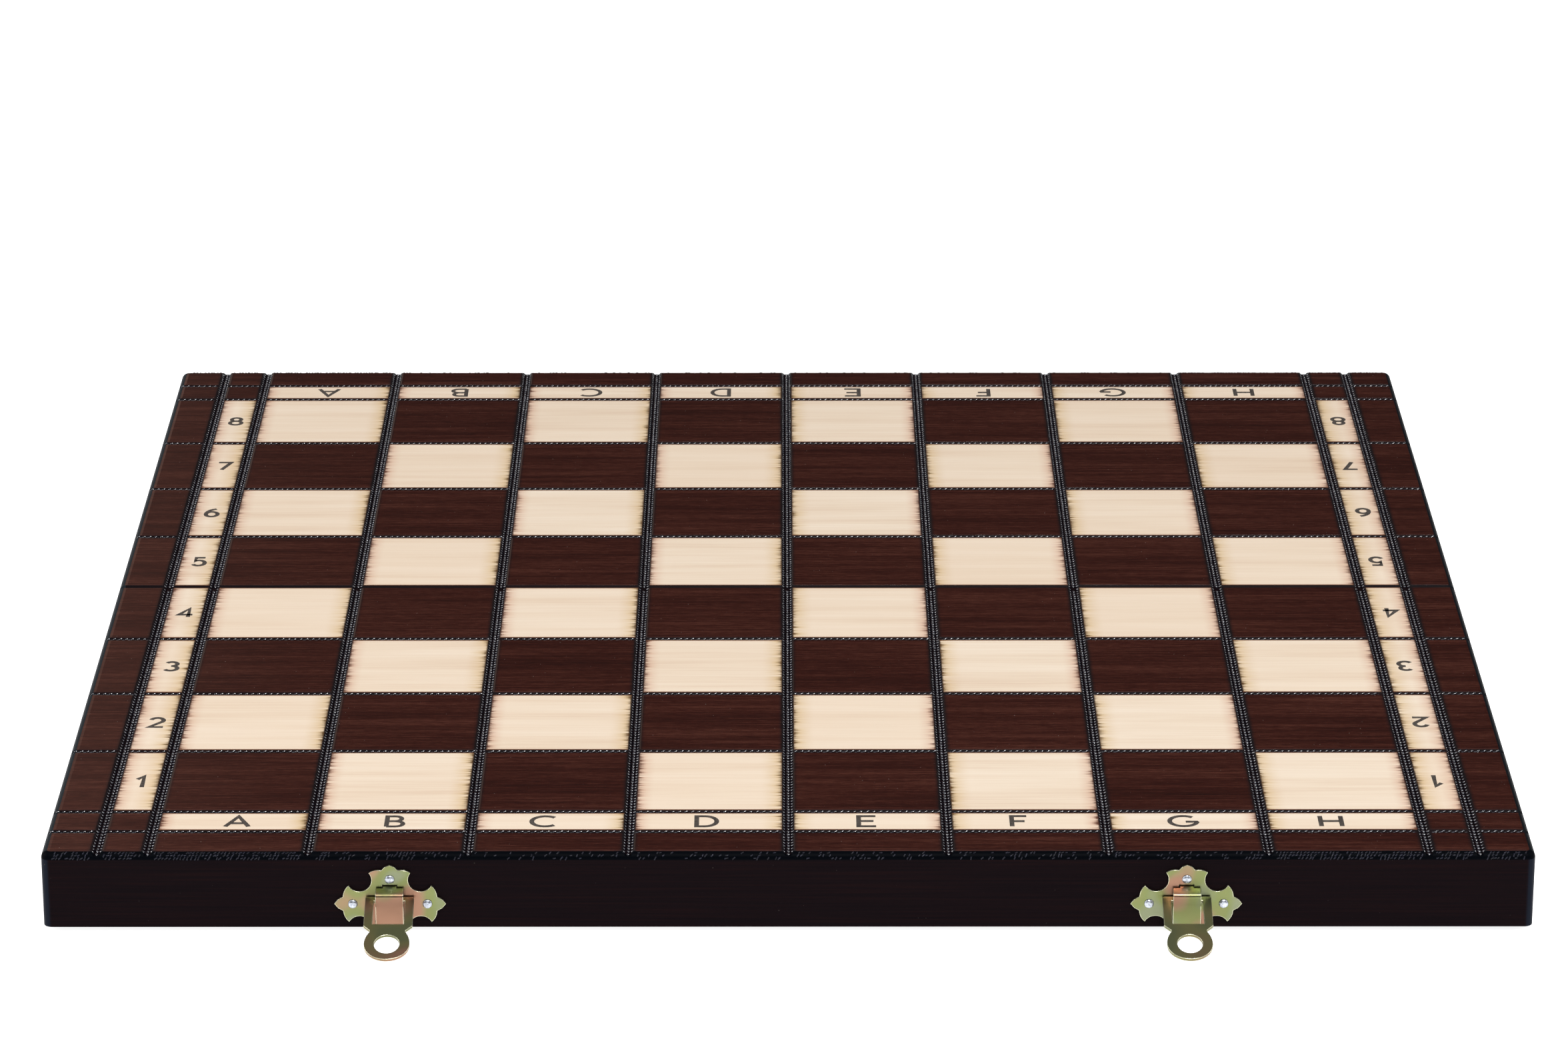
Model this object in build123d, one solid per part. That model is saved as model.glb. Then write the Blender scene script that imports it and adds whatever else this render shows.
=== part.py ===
from build123d import *
import os
from math import acos, atan, cos, degrees, radians, sin, sqrt

# Folding chess box: two hollow half-boards that hinge at their rims, with two hasp latches.
# Open, the two panels make one playing surface. Folded, the rims meet and the box holds the chessmen.
#
# Frame: X runs along the fold, +Y towards the rear half, +Z up. The origin is midway along the fold,
# in the plane of the rims, on which the open board stands.

# ---------------------------------------------------------------- driving dimensions (mm, degrees)
# Playing surface
SQUARE = 45.0               # one square, from groove centre to groove centre
SQUARES = 8                 # squares along each side of the board
BAND_WIDTH = 14.3           # letter or number band round the squares
BORDER_WIDTH = 15.7         # plain border outside the bands
PANEL_THICKNESS = 4.0
EDGE_RADIUS = 2.0           # rounded top edge round the outside
FILE_GROOVE_WIDTH = 3.0     # grooves that run front to back
FILE_GROOVE_FLOOR = 1.4
FILE_GROOVE_DEPTH = 1.1
RANK_GROOVE_WIDTH = 2.3     # grooves that run side to side, the seam among them
RANK_GROOVE_FLOOR = 1.1
RANK_GROOVE_DEPTH = 0.8

# Rails under the panels
RAIL_HEIGHT = 18.5
RAIL_THICKNESS = 8.0
RABBET_LIP = 3.0            # wood left at the ends of the long rails, outside the side rails
CORNER_RADIUS = 2.5         # upright outer corners of the box
LINING_THICKNESS = 1.0      # felt glued under the panel
LINING_MARGIN = 0.5         # felt edge to rail

# Fold
FOLD_GAP = 0.1              # from the fold axis to each seam face and to each rim

# Butt hinges
HINGE_OFFSET = 140.0        # from the middle of the fold
LEAF_LENGTH = 25.0
LEAF_REACH = 7.0            # from the fold axis to the leaf's far edge
LEAF_THICKNESS = 0.7
LEAF_MARGIN = 0.1           # leaf edge to the wall of its mortise
KNUCKLE_RADIUS = 1.3
KNUCKLE_RELIEF = 0.3        # running clearance round the knuckles
KNUCKLE_GAP = 0.15          # between neighbouring knuckles
PIN_RADIUS = 0.6
PIN_CLEARANCE = 0.05
PIN_END = 0.25             # how far each end of the pin stands out of the knuckles
SCREW_SPACING = 15.0        # between the two screws of one leaf
SCREW_SETBACK = 4.5         # from the fold axis to the screws
SCREW_LENGTH = 9.0
SCREW_RADIUS = 0.8
SCREW_HEAD_RADIUS = 1.5
SCREW_SLOT_WIDTH = 0.45
SCREW_SLOT_DEPTH = 0.35
PILOT_CLEARANCE = 0.05      # round the shank of a screw or nail

# Latch plates: a cross with three fleur arms. Heights are measured from the rim
LATCH_OFFSET = 112.0        # from the middle of the box
SHEET = 0.8                 # plate, strap and hook
ARM_HEIGHT = 7.45           # axis of the two side arms
ARM_REACH = 15.7            # tips of the side arms
ARM_SHOULDER = 13.2         # where a side arm's lobes meet its tip
ARM_SHOULDER_RISE = 2.15
TOP_REACH = 19.2            # tip of the third arm
TOP_SHOULDER = 2.35
TOP_SHOULDER_HEIGHT = 17.6
LOBE_BULGE = 0.4            # how far the curved edges of the lobes stand out from straight
TIP_BULGE = 0.3             # and the cheeks of the tips, which are cut with two straight strokes each
FOOT_HEIGHT = 0.4           # lower edge of the plate
BITE_RADIUS = 3.5           # round bites between the arms
BITE_OFFSET = 8.6
BITE_RISE = 7.25            # from the arm axis to the centres of the bites
SIDE_BARB_ANGLE = 30.0      # where the bites end at the side arms, and at the third arm
TOP_BARB_ANGLE = 142.0
NAIL_OFFSET = 10.5          # side nails
LATCH_TOP_NAIL = 14.9       # that of the catch plate is further out, to clear the ring of the hasp

# Strap: the latch plate's fourth arm, folded up in front into a loop for the hasp
STRAP_WIDTH = 7.8
STRAP_STANDOFF = 4.2        # front of the strap, from the wall
STRAP_BEND = 1.2            # inside radius of the bends at the foot
STRAP_TOP = 11.5
STRAP_TOP_BEND = 0.5        # inside radius
STRAP_RETURN = 1.5          # rise from the top bend to the tongue's end
SHOULDER_SHARE = 0.3        # full width ends this share of the return before the tongue's end
STRAP_SLIT = 0.3            # cut on each side of the strap's foot
TONGUE_WIDTH = 3.8          # end of the strap, which passes through the plate
TONGUE_MARGIN = 0.25

# Hasp: lengths are measured from its crossbar
CROSSBAR_HEIGHT = 9.2
CROSSBAR_WIDTH = 1.6
HASP_SHEET = 0.9
HASP_WIDTH = 13.7
HASP_CORNER = 0.7
WINDOW_WIDTH = 8.9
WINDOW_LENGTH = 9.8
SHOULDER_LENGTH = 10.4
NECK_LENGTH = 12.2
NECK_WIDTH = 10.0
RING_REACH = 17.5           # centre of the ring's hole
RING_RADIUS = 6.4           # half the ring's width
RING_SHOULDER = 7.4         # height of the egg-shaped ring towards the neck, if it ran on to the middle
RING_TIP = 5.8              # and towards its tip
RING_HOLE_RADIUS = 3.55
TABLE_CLEARANCE = 0.05      # under the tip of the resting hasp

# Hook: a tongue lanced out of the catch plate, which the hasp's ring drops over
HOOK_WIDTH = 4.4
HOOK_STANDOFF = 3.8         # front of the hook, from the wall
HOOK_LENGTH = 2.6           # from the back of the hook to the end of its lip
HOOK_BEND = 0.4             # inside radius
HOOK_MARGIN = 0.25          # hook to the edge of the hole it was cut from

# Nails
NAIL_HEAD_RADIUS = 1.3
NAIL_HEAD_HEIGHT = 0.8
NAIL_RADIUS = 0.6
NAIL_LENGTH = 7.0
NAIL_BROW_RADIUS = 1.1      # half way up the dome

# Flats round each nail and screw, few because there are so many of them
HEAD_SIDES = 8
SHANK_SIDES = 6

# ---------------------------------------------------------------- derived sizes
field = SQUARE * SQUARES
half_width = field / 2 + BAND_WIDTH + BORDER_WIDTH
half_depth = half_width
band_edge = field / 2 + BAND_WIDTH
panel_top = RAIL_HEIGHT + PANEL_THICKNESS
crossbar_standoff = STRAP_STANDOFF / 2
hasp_length = RING_REACH + RING_TIP
hasp_rest_angle = degrees(acos((CROSSBAR_HEIGHT - HASP_SHEET / 2 - TABLE_CLEARANCE) / hasp_length))
hook_height = RING_REACH - CROSSBAR_HEIGHT - 2 * FOLD_GAP
hook_back = hook_height - HOOK_LENGTH / 2
ring_end = hasp_length - CROSSBAR_HEIGHT - 2 * FOLD_GAP
catch_top_nail = (ring_end + RAIL_HEIGHT) / 2
latch_nails = [(-NAIL_OFFSET, ARM_HEIGHT), (NAIL_OFFSET, ARM_HEIGHT), (0, LATCH_TOP_NAIL)]
catch_nails = [(-NAIL_OFFSET, ARM_HEIGHT), (NAIL_OFFSET, ARM_HEIGHT), (0, catch_top_nail)]
screw_places = [-SCREW_SPACING / 2, SCREW_SPACING / 2]
left, right = -1, 1


def block(x_span, y_span, z_span):
    """A box between two values on each axis."""
    spans = [sorted(span) for span in (x_span, y_span, z_span)]
    low = [span[0] for span in spans]
    size = [span[1] - span[0] for span in spans]
    return Pos(*low) * Box(*size, align=Align.MIN)


def shank(radius, length):
    """The shank of a nail or screw, up from z = 0."""
    return extrude(RegularPolygon(radius, SHANK_SIDES), length)


def tapered(radius, end_radius, height, sides):
    """A flat-sided frustum, up from z = 0."""
    flat_inset = (radius - end_radius) * cos(radians(180 / sides))
    return extrude(RegularPolygon(radius, sides), height, taper=degrees(atan(flat_inset / height)))


def turned(shape):
    """A front half's shape brought to the rear half, by a half turn about the upright axis."""
    return shape.rotate(Axis.Z, 180)


# ---------------------------------------------------------------- half-board
def groove_cutter(width, floor, depth):
    """A long bar along Y that cuts a groove with sloping sides into a face at z = 0."""
    right_side = [(floor / 2, -depth), (width / 2, 0), (width / 2, depth)]
    left_side = [(-x, z) for x, z in reversed(right_side)]
    profile = Polyline(*right_side, *left_side, close=True)
    return extrude(Plane.XZ * make_face(profile), 3 * half_width, both=True)


def panel():
    """The front half of the playing surface, with grooves between the squares and a rounded rim."""
    slab = block((-half_width, half_width), (-half_depth, -FOLD_GAP), (RAIL_HEIGHT, panel_top))
    corners = slab.edges().filter_by(Axis.Z).group_by(Axis.Y)[0]
    slab = fillet(corners, CORNER_RADIUS)
    top_edges = slab.faces().sort_by(Axis.Z)[-1].edges()
    slab = fillet(top_edges.sort_by(Axis.Y)[:-1], EDGE_RADIUS)

    lines = [SQUARE * step for step in range(-SQUARES // 2, SQUARES // 2 + 1)] + [-band_edge, band_edge]
    file_cutter = groove_cutter(FILE_GROOVE_WIDTH, FILE_GROOVE_FLOOR, FILE_GROOVE_DEPTH)
    rank_cutter = Rot(0, 0, 90) * groove_cutter(RANK_GROOVE_WIDTH, RANK_GROOVE_FLOOR, RANK_GROOVE_DEPTH)
    slab -= [Pos(line, 0, panel_top) * file_cutter for line in lines]
    slab -= [Pos(0, line, panel_top) * rank_cutter for line in lines if line <= 0]
    return slab


def long_rail(outer_face, inner_face):
    """A rail along X between two Y faces, rabbeted inside both ends to take the side rails."""
    rail = block((-half_width, half_width), (outer_face, inner_face), (0, RAIL_HEIGHT))
    lip = outer_face + (RABBET_LIP if inner_face > outer_face else -RABBET_LIP)
    rabbet = (half_width - RAIL_THICKNESS, half_width + RAIL_THICKNESS)
    for side in (left, right):
        rail -= block([side * x for x in rabbet], (lip, inner_face), (0, RAIL_HEIGHT))
    return rail


def outer_rail(nails):
    """The rail that carries latch parts, with round upright corners and a pilot hole for each nail."""
    rail = long_rail(-half_depth, -half_depth + RAIL_THICKNESS)
    rail = fillet(rail.edges().filter_by(Axis.Z).group_by(Axis.Y)[0], CORNER_RADIUS)
    pilot = Rot(-90, 0, 0) * shank(NAIL_RADIUS + PILOT_CLEARANCE, NAIL_LENGTH - SHEET + PILOT_CLEARANCE)
    for side in (left, right):
        rail -= [Pos(side * LATCH_OFFSET + x, -half_depth, height) * pilot for x, height in nails]
    return rail


def hinge_rail():
    """The rail along the fold, let in for the hinge leaves and relieved round their knuckles."""
    half_leaf = LEAF_LENGTH / 2 + LEAF_MARGIN
    mortise = block((-half_leaf, half_leaf), (-LEAF_REACH - LEAF_MARGIN, 0), (0, LEAF_THICKNESS))
    knuckles = Cylinder(KNUCKLE_RADIUS + KNUCKLE_RELIEF, LEAF_LENGTH + 2 * (PIN_END + KNUCKLE_RELIEF))
    pilot = shank(SCREW_RADIUS + PILOT_CLEARANCE, SCREW_LENGTH + PILOT_CLEARANCE)
    rail = long_rail(-FOLD_GAP, -RAIL_THICKNESS)
    for side in (left, right):
        seat = Pos(side * HINGE_OFFSET, 0, 0)
        rail -= seat * mortise
        rail -= seat * Pos(0, 0, -FOLD_GAP) * Rot(0, 90, 0) * knuckles
        rail -= [seat * Pos(x, -SCREW_SETBACK, 0) * pilot for x in screw_places]
    return rail


def side_rail(side):
    """A short rail between the lips of the two long rails."""
    x_span = (side * (half_width - RAIL_THICKNESS), side * half_width)
    return block(x_span, (-half_depth + RABBET_LIP, -FOLD_GAP - RABBET_LIP), (0, RAIL_HEIGHT))


def lining():
    """The felt on the inside of the panel, between the four rails."""
    edge = RAIL_THICKNESS + LINING_MARGIN
    x_span = (-half_width + edge, half_width - edge)
    return block(x_span, (-half_depth + edge, -edge), (RAIL_HEIGHT - LINING_THICKNESS, RAIL_HEIGHT))


# ---------------------------------------------------------------- butt hinges, made at the middle of the fold
fold = Pos(0, 0, -FOLD_GAP) * Rot(0, 90, 0)


def leaf(knuckles):
    """A front leaf with knuckles over the given X spans, bored for the pin and countersunk for screws."""
    half_leaf = LEAF_LENGTH / 2
    body_edge = -KNUCKLE_RADIUS - KNUCKLE_RELIEF
    plate = block((-half_leaf, half_leaf), (-LEAF_REACH, body_edge), (0, LEAF_THICKNESS))
    for start, end in knuckles:
        plate += block((start, end), (body_edge, 0), (0, LEAF_THICKNESS))
        plate += Pos((start + end) / 2, 0, 0) * fold * Cylinder(KNUCKLE_RADIUS, end - start)
    plate -= fold * Cylinder(PIN_RADIUS + PIN_CLEARANCE, 2 * LEAF_LENGTH)
    return plate - [Pos(x, -SCREW_SETBACK, 0) * countersunk(PILOT_CLEARANCE) for x in screw_places]


def front_leaf():
    """The leaf with the two end knuckles, which hold the pin."""
    edge, inner = LEAF_LENGTH / 2, (LEAF_LENGTH / 3 + KNUCKLE_GAP) / 2
    return leaf([(-edge, -inner), (inner, edge)])


def rear_leaf():
    """The leaf with the middle knuckle, which turns on the pin."""
    edge = (LEAF_LENGTH / 3 - KNUCKLE_GAP) / 2
    return turned(leaf([(-edge, edge)]))


def hinge_pin():
    return fold * Cylinder(PIN_RADIUS, LEAF_LENGTH + 2 * PIN_END)


def countersunk(clearance):
    """The outline of an upward screw whose head is flush with z = 0, grown sideways by a clearance."""
    head_radius, shank_radius = SCREW_HEAD_RADIUS + clearance, SCREW_RADIUS + clearance
    head = tapered(head_radius, shank_radius, LEAF_THICKNESS, SHANK_SIDES)
    return head + shank(shank_radius, SCREW_LENGTH)


def hinge_screws():
    """The four screws of the two front leaves."""
    slot = Box(3 * SCREW_HEAD_RADIUS, SCREW_SLOT_WIDTH, 2 * SCREW_SLOT_DEPTH)
    screw = Pos(0, -SCREW_SETBACK, 0) * (countersunk(0) - slot)
    places = [side * HINGE_OFFSET + x for side in (left, right) for x in screw_places]
    return Compound([Pos(x, 0, 0) * screw for x in places])


# ---------------------------------------------------------------- latches, made at the wall's middle
wall = Pos(0, -half_depth, 0)


def stamped(sketch, thickness):
    """A sheet with its back on the plane y = 0, cut to a sketch of (across, height)."""
    return extrude(Rot(90, 0, 0) * sketch, thickness)


def strip(face_line, width):
    """A strip of the plate's sheet, to the left of a line drawn in (outward, height)."""
    profile = make_face(offset(face_line, SHEET, side=Side.LEFT, closed=True).edges())
    upright = Plane((0, 0, 0), x_dir=(0, -1, 0), z_dir=(-1, 0, 0))
    return extrude(upright * profile, width / 2, both=True)


def rectangle(x_half, low, high):
    """A sketch of (across, height) symmetric about the middle."""
    return Pos(0, (low + high) / 2) * Rectangle(2 * x_half, high - low)


def bite_point(side, angle):
    """A point on the bite above (1) or below (-1) the side arm, its angle mirrored with the bite."""
    across = BITE_OFFSET + BITE_RADIUS * cos(radians(angle))
    return (across, ARM_HEIGHT + side * (BITE_RISE + BITE_RADIUS * sin(radians(angle))))


def cheek(start, end):
    """Two straight strokes from start to end, with their corner out to the right by the tips' bulge."""
    across, rise = end[0] - start[0], end[1] - start[1]
    reach = TIP_BULGE / sqrt(across**2 + rise**2)
    corner = ((start[0] + end[0]) / 2 + rise * reach, (start[1] + end[1]) / 2 - across * reach)
    return Polyline(start, corner, end)


def cross_sketch(nail_places):
    """The outline of a plate: a cross with two side arms, a third arm, a straight foot and nail holes."""
    below_bite = ARM_HEIGHT - BITE_RISE - FOOT_HEIGHT
    foot = (BITE_OFFSET - sqrt(BITE_RADIUS**2 - below_bite**2), FOOT_HEIGHT)
    barbs = [bite_point(side, -SIDE_BARB_ANGLE) for side in (-1, 1)]
    shoulders = [(ARM_SHOULDER, ARM_HEIGHT + side * ARM_SHOULDER_RISE) for side in (-1, 1)]
    tip = (ARM_REACH, ARM_HEIGHT)
    top_barb = bite_point(1, TOP_BARB_ANGLE)
    top_shoulder = (TOP_SHOULDER, TOP_SHOULDER_HEIGHT)
    top_tip = (0, TOP_REACH)
    right_edge = [
        Line((0, FOOT_HEIGHT), foot),
        ThreePointArc(foot, bite_point(-1, -90), barbs[0]),
        SagittaArc(barbs[0], shoulders[0], -LOBE_BULGE),
        cheek(shoulders[0], tip),
        cheek(tip, shoulders[1]),
        SagittaArc(shoulders[1], barbs[1], -LOBE_BULGE),
        ThreePointArc(barbs[1], bite_point(1, -120), top_barb),
        SagittaArc(top_barb, top_shoulder, -LOBE_BULGE),
        cheek(top_shoulder, top_tip),
    ]
    outline = make_face([*right_edge, *(mirror(edge, about=Plane.YZ) for edge in right_edge)])
    hole = RegularPolygon(NAIL_RADIUS + PILOT_CLEARANCE, SHANK_SIDES)
    return outline - [Pos(*place) * hole for place in nail_places]


def latch_plate():
    """The cross whose foot is folded up in front as a strap, and back through a slot in the cross."""
    foot_bend, top_bend = STRAP_BEND + SHEET, STRAP_TOP_BEND + SHEET
    bend_start = FOOT_HEIGHT + foot_bend
    top = Vector(STRAP_STANDOFF, STRAP_TOP)
    tongue_end = Vector(SHEET / 2, STRAP_TOP + STRAP_RETURN)
    shoulder = tongue_end + (top - tongue_end) * SHOULDER_SHARE
    points = [(0, 2 * bend_start), (0, FOOT_HEIGHT), (STRAP_STANDOFF, FOOT_HEIGHT), top, shoulder]
    strap = strip(FilletPolyline(*points, radius=[foot_bend, foot_bend, top_bend]), STRAP_WIDTH)
    strap += strip(Line((top + shoulder) / 2, tongue_end), TONGUE_WIDTH)
    cross = cross_sketch(latch_nails) - rectangle(STRAP_WIDTH / 2 + STRAP_SLIT, 0, bend_start)
    slot = rectangle(
        TONGUE_WIDTH / 2 + TONGUE_MARGIN,
        tongue_end.Y - STRAP_RETURN / 2 - SHEET - TONGUE_MARGIN,
        tongue_end.Y + TONGUE_MARGIN,
    )
    return wall * (stamped(cross - slot, SHEET) + strap)


def catch_plate():
    """The same cross with a hook lanced from its middle, its lip pointing away from the rim."""
    lip_end = hook_back + HOOK_LENGTH
    points = [(SHEET, hook_back - 2 * SHEET), (SHEET, hook_back)]
    points += [(HOOK_STANDOFF, hook_back), (HOOK_STANDOFF, lip_end)]
    hook = strip(FilletPolyline(*points, radius=[HOOK_BEND, HOOK_BEND + SHEET]), HOOK_WIDTH)
    flat_length = HOOK_STANDOFF + HOOK_LENGTH - 2 * SHEET
    bend_start = hook_back - HOOK_BEND
    hole = rectangle(HOOK_WIDTH / 2 + HOOK_MARGIN, bend_start, bend_start + flat_length + HOOK_MARGIN)
    return wall * (stamped(cross_sketch(catch_nails) - hole, SHEET) + hook)


def hasp():
    """The swinging hasp: a window that the strap passes through, a neck, and a ring for the hook."""
    half, neck, bar = HASP_WIDTH / 2, NECK_WIDTH / 2, CROSSBAR_WIDTH / 2
    shoulder_angle = degrees(acos(neck / RING_RADIUS))
    ring_start = RING_REACH - RING_SHOULDER * sin(radians(shoulder_angle))
    shoulder = [(half, -SHOULDER_LENGTH), (neck, -NECK_LENGTH)]
    centre = (0, -RING_REACH)
    right_edge = [
        *Polyline((0, bar), (half, bar), *shoulder, (neck, -ring_start)).edges(),
        EllipticalCenterArc(centre, RING_RADIUS, RING_SHOULDER, arc_size=shoulder_angle),
        EllipticalCenterArc(centre, RING_RADIUS, RING_TIP, start_angle=-90, arc_size=90),
    ]
    sketch = make_face([*right_edge, *(mirror(edge, about=Plane.YZ) for edge in right_edge)])
    sketch = fillet(sketch.vertices().group_by(Axis.Y)[-1], HASP_CORNER)
    sketch -= rectangle(WINDOW_WIDTH / 2, -WINDOW_LENGTH, -bar)
    sketch -= Pos(*centre) * Circle(RING_HOLE_RADIUS)
    hanging = Pos(0, HASP_SHEET / 2, 0) * stamped(sketch, HASP_SHEET)
    crossbar = wall * Pos(0, -crossbar_standoff, CROSSBAR_HEIGHT)
    return crossbar * Rot(-hasp_rest_angle, 0, 0) * hanging


def nail():
    """A domed nail driven along +Y, its head's seat at y = 0."""
    rise = NAIL_HEAD_HEIGHT / 2
    head = tapered(NAIL_HEAD_RADIUS, NAIL_BROW_RADIUS, rise, HEAD_SIDES)
    head += Pos(0, 0, rise) * tapered(NAIL_BROW_RADIUS, NAIL_RADIUS, rise, HEAD_SIDES)
    return Rot(90, 0, 0) * (head + Rot(180, 0, 0) * shank(NAIL_RADIUS, NAIL_LENGTH))


def nails(places):
    """The nails of the two plates on the front wall."""
    seats = [Pos(side * LATCH_OFFSET + x, -SHEET, z) for side in (left, right) for x, z in places]
    return Compound([wall * seat * nail() for seat in seats])


# ---------------------------------------------------------------- the assembly, board open and flat
front_half = {
    "front_panel": panel(),
    "front_outer_rail": outer_rail(latch_nails),
    "front_hinge_rail": hinge_rail(),
    "front_left_rail": side_rail(left),
    "front_right_rail": side_rail(right),
    "front_lining": lining(),
    "front_hinge_screws": hinge_screws(),
    "latch_nails": nails(latch_nails),
}
rear_half = {
    "rear_panel": turned(panel()),
    "rear_outer_rail": turned(outer_rail(catch_nails)),
    "rear_hinge_rail": turned(hinge_rail()),
    "rear_left_rail": turned(side_rail(right)),
    "rear_right_rail": turned(side_rail(left)),
    "rear_lining": turned(lining()),
    "rear_hinge_screws": turned(hinge_screws()),
    "catch_nails": turned(nails(catch_nails)),
}
paired = {}
for name, side in {"left": left, "right": right}.items():
    at_hinge = Pos(side * HINGE_OFFSET, 0, 0)
    at_latch = Pos(side * LATCH_OFFSET, 0, 0)
    paired[f"{name}_hinge_front_leaf"] = at_hinge * front_leaf()
    paired[f"{name}_hinge_rear_leaf"] = at_hinge * rear_leaf()
    paired[f"{name}_hinge_pin"] = at_hinge * hinge_pin()
    paired[f"{name}_latch_plate"] = at_latch * latch_plate()
    paired[f"{name}_hasp"] = at_latch * hasp()
    paired[f"{name}_catch_plate"] = at_latch * turned(catch_plate())

os.makedirs("parts", exist_ok=True)
for node, shape in {**front_half, **rear_half, **paired}.items():
    export_step(shape, f"parts/{node}.step")
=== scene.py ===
# %% [markdown]
# # A folding chess box
# This chessboard is a box sawn in two. Each half is a shallow tray turned upside down: a grooved panel on
# four rails, lined with felt. Two butt hinges join the halves along the fold, and two hasp latches hold
# the folded box shut. The solids come from a CAD model, which is loaded first and never moved, so every
# piece made here can be placed by plain measurements in the same frame: X along the fold, Y towards the
# rear half, Z up out of the playing surface.

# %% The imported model
import math
import random

import bpy
from mathutils import Matrix, Vector


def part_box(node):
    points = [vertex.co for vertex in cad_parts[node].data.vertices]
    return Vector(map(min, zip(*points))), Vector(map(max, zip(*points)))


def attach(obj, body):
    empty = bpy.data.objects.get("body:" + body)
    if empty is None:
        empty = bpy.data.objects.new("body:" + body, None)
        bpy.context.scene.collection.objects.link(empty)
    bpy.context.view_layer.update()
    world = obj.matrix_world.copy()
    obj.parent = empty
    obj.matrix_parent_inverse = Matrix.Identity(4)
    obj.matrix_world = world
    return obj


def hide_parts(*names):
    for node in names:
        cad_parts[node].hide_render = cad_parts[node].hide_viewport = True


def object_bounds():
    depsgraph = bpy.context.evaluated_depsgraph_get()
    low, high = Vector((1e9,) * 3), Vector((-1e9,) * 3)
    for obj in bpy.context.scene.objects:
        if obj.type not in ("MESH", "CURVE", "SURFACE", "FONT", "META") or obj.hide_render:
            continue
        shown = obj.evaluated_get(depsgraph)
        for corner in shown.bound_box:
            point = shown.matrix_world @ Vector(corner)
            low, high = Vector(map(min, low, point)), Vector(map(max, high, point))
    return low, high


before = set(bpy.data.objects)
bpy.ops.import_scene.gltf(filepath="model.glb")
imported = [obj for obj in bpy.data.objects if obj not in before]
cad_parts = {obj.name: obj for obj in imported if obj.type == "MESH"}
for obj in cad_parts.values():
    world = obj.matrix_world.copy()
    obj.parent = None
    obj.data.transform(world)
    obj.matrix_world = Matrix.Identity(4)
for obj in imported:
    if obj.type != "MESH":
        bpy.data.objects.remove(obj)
cad_low, cad_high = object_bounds()
scene = bpy.context.scene
MM = 0.001
print("solids:", len(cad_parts), "box in mm:", [round(v / MM, 1) for v in cad_high - cad_low])

# %% [markdown]
# ## Measurements
# Everything drawn on the board follows its grooves, so their places are worked out once. The pattern is
# eight squares of 45 mm, then a narrow band for the letters and numbers, then a plain border out to the
# edge of the panel, which is read from the CAD model. All values are in millimetres, because that is how
# a joiner would note them down.

# %% Board measurements in mm
def box_in_mm(node):
    """Lowest and highest corner of a CAD node, to a hundredth of a millimetre."""
    return [[round(value / MM, 2) for value in corner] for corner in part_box(node)]


SQUARE = 45.0
FIELD = 4 * SQUARE  # from the middle to the edge of the 64 squares
BAND = FIELD + 14.3  # to the outer edge of the letter and number bands
panel_low, panel_high = box_in_mm("front_panel")
HALF, TOP = panel_high[0], panel_high[2]  # to the outside of the box, and up to the playing surface
FILE_DEPTH, FILE_FLOOR, FILE_HALF = 1.1, 0.7, 1.5  # grooves from front to back; half their floor and width
RANK_DEPTH, RANK_FLOOR, RANK_HALF = 0.8, 0.55, 1.15  # grooves from side to side
EDGE_RADIUS = 2.0
RAIL = 8.0  # thickness of the rails under the panels
SKIN = 0.02  # how far from a face a point may lie and still count as on it
groove_lines = [-BAND] + [SQUARE * step for step in range(-4, 5)] + [BAND]
halves = {"front": -1, "rear": 1}  # name of each half, and the side of the fold that it is on
print("half the board:", HALF, "playing surface:", TOP, "grooves each way:", len(groove_lines))

# %% [markdown]
# ## The camera
# A product view from the player's side, fairly high and from far away with a long lens, so that the board
# narrows only a little towards the back. A camera looks along its own -Z, so it is tipped up by a right
# angle less the downward pitch, and then turned by the small yaw.

# %% Camera
EYE = (-2.8, -1713.0, 676.9)
PITCH, YAW = 20.28, 0.061  # in degrees
SENSOR, FOCAL_PIXELS, IMAGE_WIDTH = 36.0, 8750, 2352  # in mm, and twice in pixels of the image
camera = bpy.data.objects.new("camera", bpy.data.cameras.new("camera"))
turn = Matrix.Rotation(math.radians(-YAW), 4, "Z") @ Matrix.Rotation(math.radians(90 - PITCH), 4, "X")
camera.matrix_world = Matrix.Translation(Vector(EYE) * MM) @ turn
camera.data.sensor_width = SENSOR
camera.data.lens = SENSOR * FOCAL_PIXELS / IMAGE_WIDTH
camera.data.clip_end = 50.0
scene.collection.objects.link(camera)
scene.camera = camera
scene.view_settings.view_transform = "Standard"
print("lens in mm:", round(camera.data.lens, 1))

# %% [markdown]
# ## Shader maths as plain expressions
# A procedural material is a sum of many small masks. Wiring each Math node by hand hides the idea, so one
# small class wraps a socket and lets Python's own operators add the nodes: `1 - mask` and `a * b` each
# make one. Every other kind of node comes from its method `node`.

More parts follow.
